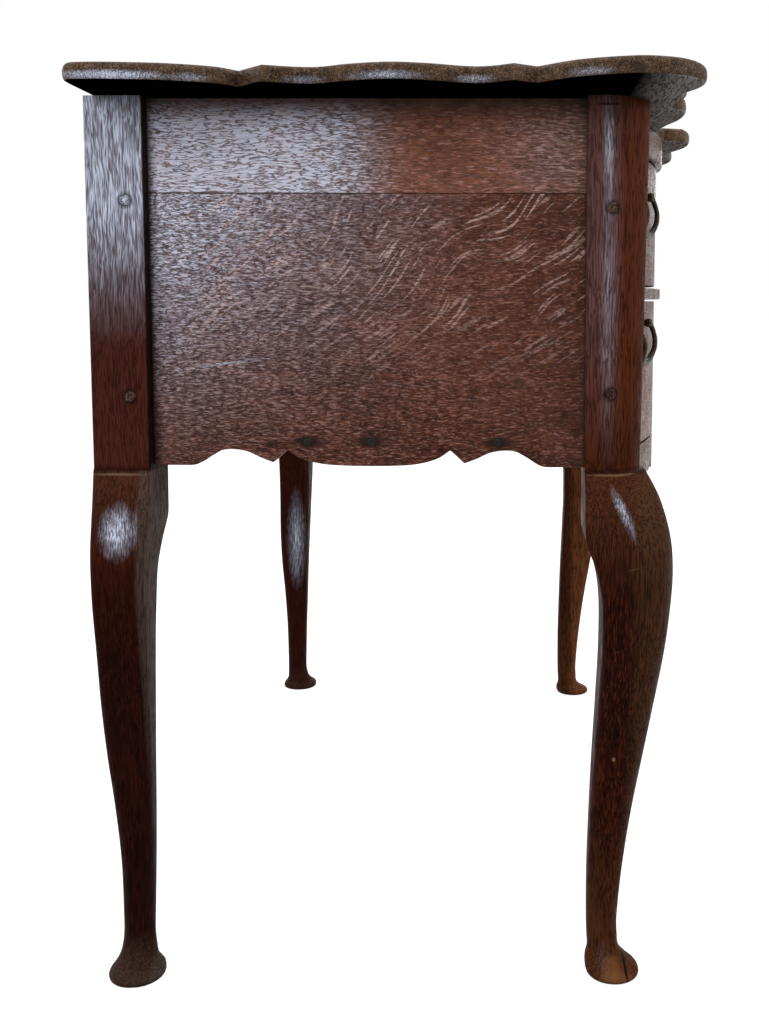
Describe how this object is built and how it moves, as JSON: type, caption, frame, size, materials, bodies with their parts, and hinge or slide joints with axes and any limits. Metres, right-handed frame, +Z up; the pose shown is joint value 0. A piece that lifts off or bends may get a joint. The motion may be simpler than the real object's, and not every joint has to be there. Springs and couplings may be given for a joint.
{
  "type": "commode_chest",
  "caption": "Two-drawer chest on cabriole legs with a bowed front and a scalloped, overhanging top; the drawers slide out and their bail handles swing",
  "frame": {"origin": "Centre of the bounding box on the floor, under the chest", "axes": "X runs along the width with the chest's left end at -X, the drawer fronts face -Y, +Z is up"},
  "size_m": [0.9284, 0.5453, 0.78],
  "materials": {
    "dark_oak": "waxed, worn",
    "inner_oak": "planed, unfinished",
    "peg_oak": "end grain",
    "brass": "patinated",
    "iron": "forged, oxidised"
  },
  "bodies": {
    "carcase": {"top": "dark_oak", "top_pegs": "peg_oak", "front_left_leg": "dark_oak", "front_right_leg": "dark_oak", "rear_left_leg": "dark_oak", "rear_right_leg": "dark_oak", "board_pegs": "peg_oak", "left_upper_side_board": "dark_oak", "left_lower_side_board": "dark_oak", "right_upper_side_board": "dark_oak", "right_lower_side_board": "dark_oak", "back_upper_board": "inner_oak", "back_lower_board": "inner_oak", "back_nails": "iron", "back_top_rail": "inner_oak", "back_bottom_rail": "inner_oak", "top_rail": "dark_oak", "middle_rail": "dark_oak", "apron_rail": "dark_oak", "upper_left_runner": "inner_oak", "upper_right_runner": "inner_oak", "lower_left_runner": "inner_oak", "lower_right_runner": "inner_oak", "upper_left_guide": "inner_oak", "upper_right_guide": "inner_oak", "lower_left_guide": "inner_oak", "lower_right_guide": "inner_oak", "left_kicker": "inner_oak", "right_kicker": "inner_oak", "runner_nails": "iron", "upper_stops": "inner_oak", "lower_stops": "inner_oak"},
    "upper_drawer": {"upper_drawer_front": "dark_oak", "upper_drawer_left_side": "inner_oak", "upper_drawer_right_side": "inner_oak", "upper_drawer_back": "inner_oak", "upper_drawer_bottom": "inner_oak", "upper_left_plate": "brass", "upper_right_plate": "brass", "upper_studs": "brass", "upper_nuts": "brass", "upper_escutcheon": "brass", "upper_lock": "iron"},
    "lower_drawer": {"lower_drawer_front": "dark_oak", "lower_drawer_left_side": "inner_oak", "lower_drawer_right_side": "inner_oak", "lower_drawer_back": "inner_oak", "lower_drawer_bottom": "inner_oak", "lower_left_plate": "brass", "lower_right_plate": "brass", "lower_studs": "brass", "lower_nuts": "brass", "lower_escutcheon": "brass", "lower_lock": "iron"},
    "upper_left_bail": {"upper_left_bail": "brass"},
    "upper_right_bail": {"upper_right_bail": "brass"},
    "lower_left_bail": {"lower_left_bail": "brass"},
    "lower_right_bail": {"lower_right_bail": "brass"},
    "upper_bolt": {"upper_bolt": "iron"},
    "lower_bolt": {"lower_bolt": "iron"}
  },
  "joints": [
    {"name": "upper_drawer_slide", "type": "slide", "parent": "carcase", "child": "upper_drawer", "axis": [0, -1, 0], "range_m": [0, 0.33]},
    {"name": "lower_drawer_slide", "type": "slide", "parent": "carcase", "child": "lower_drawer", "axis": [0, -1, 0], "range_m": [0, 0.33]},
    {"name": "upper_left_bail_hinge", "type": "hinge", "parent": "upper_drawer", "child": "upper_left_bail", "pos_m": [-0.24501, -0.20793, 0.6975], "axis": [-0.9679, 0.2514, 0], "range_deg": [0, 90]},
    {"name": "upper_right_bail_hinge", "type": "hinge", "parent": "upper_drawer", "child": "upper_right_bail", "pos_m": [0.24501, -0.20793, 0.6975], "axis": [-0.9679, -0.2514, 0], "range_deg": [0, 90]},
    {"name": "lower_left_bail_hinge", "type": "hinge", "parent": "lower_drawer", "child": "lower_left_bail", "pos_m": [-0.24501, -0.20793, 0.5765], "axis": [-0.9679, 0.2514, 0], "range_deg": [0, 90]},
    {"name": "lower_right_bail_hinge", "type": "hinge", "parent": "lower_drawer", "child": "lower_right_bail", "pos_m": [0.24501, -0.20793, 0.5765], "axis": [-0.9679, -0.2514, 0], "range_deg": [0, 90]},
    {"name": "upper_bolt_slide", "type": "slide", "parent": "upper_drawer", "child": "upper_bolt", "axis": [0, 0, 1], "range_m": [0, 0.006]},
    {"name": "lower_bolt_slide", "type": "slide", "parent": "lower_drawer", "child": "lower_bolt", "axis": [0, 0, 1], "range_m": [0, 0.006]}
  ]
}
